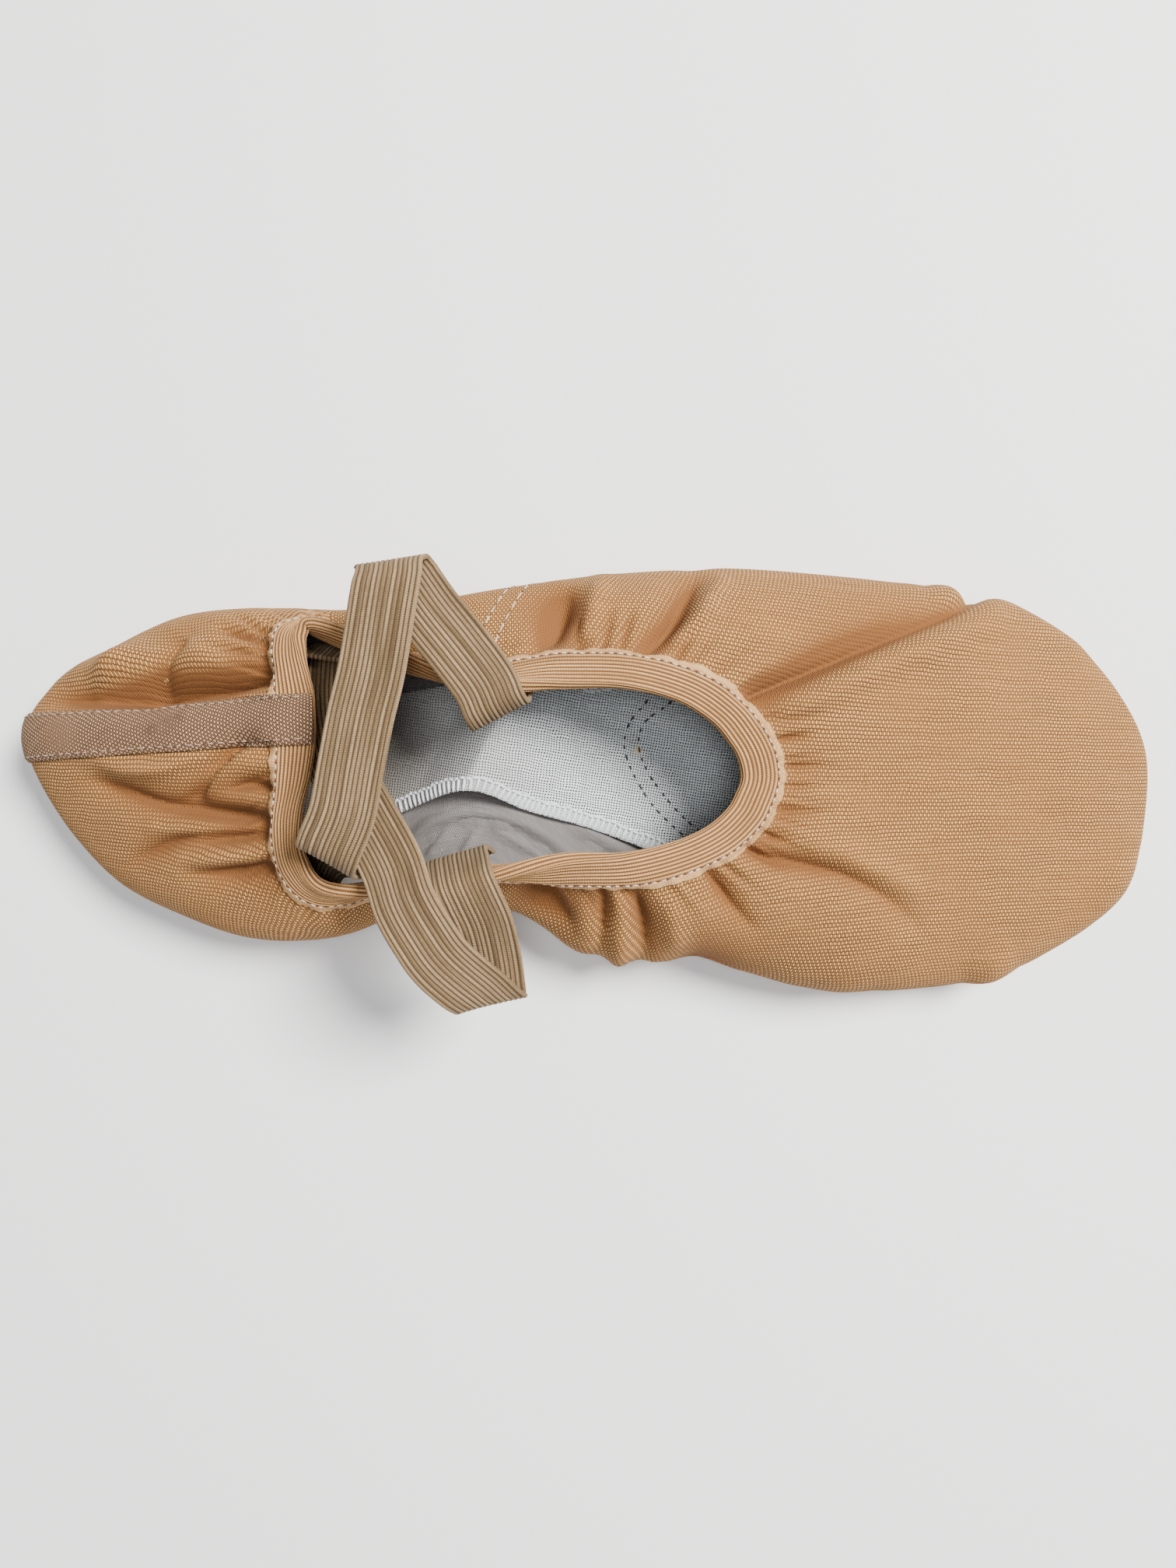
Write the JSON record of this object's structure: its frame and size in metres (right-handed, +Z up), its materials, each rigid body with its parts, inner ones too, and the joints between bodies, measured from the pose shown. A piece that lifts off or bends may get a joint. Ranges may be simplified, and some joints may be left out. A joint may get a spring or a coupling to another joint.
{
  "type": "ballet shoe",
  "caption": "Soft canvas ballet slipper with a split suede sole, a gathered vamp, an elastic collar and two crossed elastic straps.",
  "frame": {"origin": "centre of the heel patch's underside, on the floor", "axes": "+X from heel to toe, +Y to the slipper's left side as worn pointing along +X, +Z up from the floor"},
  "size_m": [0.2476, 0.0934, 0.0503],
  "materials": {
    "canvas": "plain-weave cotton canvas, apricot",
    "suede": "split suede, matt",
    "cotton": "white plain-weave cotton",
    "binding_elastic": "ribbed elastic tape",
    "seam_tape": "canvas tape, slightly pinker",
    "strap_elastic": "ribbed elastic, cream",
    "thread": "sewing thread"
  },
  "bodies": {
    "root": {"upper": "canvas", "sole_patch_front": "suede", "sole_patch_heel": "suede", "insole": "cotton", "collar_binding": "binding_elastic", "back_seam_strip": "seam_tape", "strap_over": "strap_elastic", "strap_under": "strap_elastic"}
  },
  "joints": []
}
